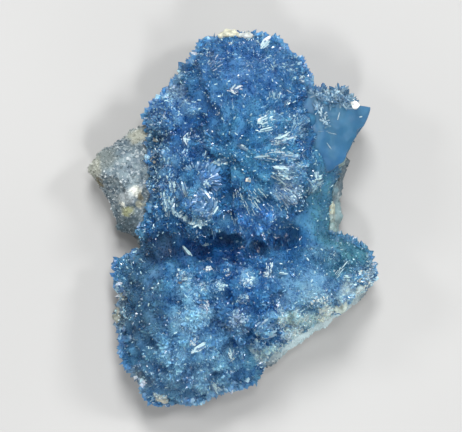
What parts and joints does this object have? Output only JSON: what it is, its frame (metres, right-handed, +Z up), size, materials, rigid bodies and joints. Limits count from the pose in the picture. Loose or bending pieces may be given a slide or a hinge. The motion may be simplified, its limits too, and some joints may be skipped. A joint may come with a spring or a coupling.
{
  "type": "vauxite crystal specimen",
  "caption": "Loose mineral specimen: a thick crust of sky-blue bladed vauxite crystals in rounded sprays, split by a dark crevice, on pale host rock.",
  "frame": {"origin": "centre of the bounding box, on the surface that the specimen lies on", "axes": "+Z up from the rock's broken back, +Y along the specimen towards the crown of the crust"},
  "size_m": [0.0234, 0.0302, 0.0141],
  "materials": {
    "vauxite": "glassy translucent sky-blue bladed crystals",
    "host_rock": "rough sugary grey-white rock with cream and ochre stains"
  },
  "bodies": {
    "root": {"vauxite_crust": "vauxite", "host_rock": "host_rock"}
  },
  "joints": []
}
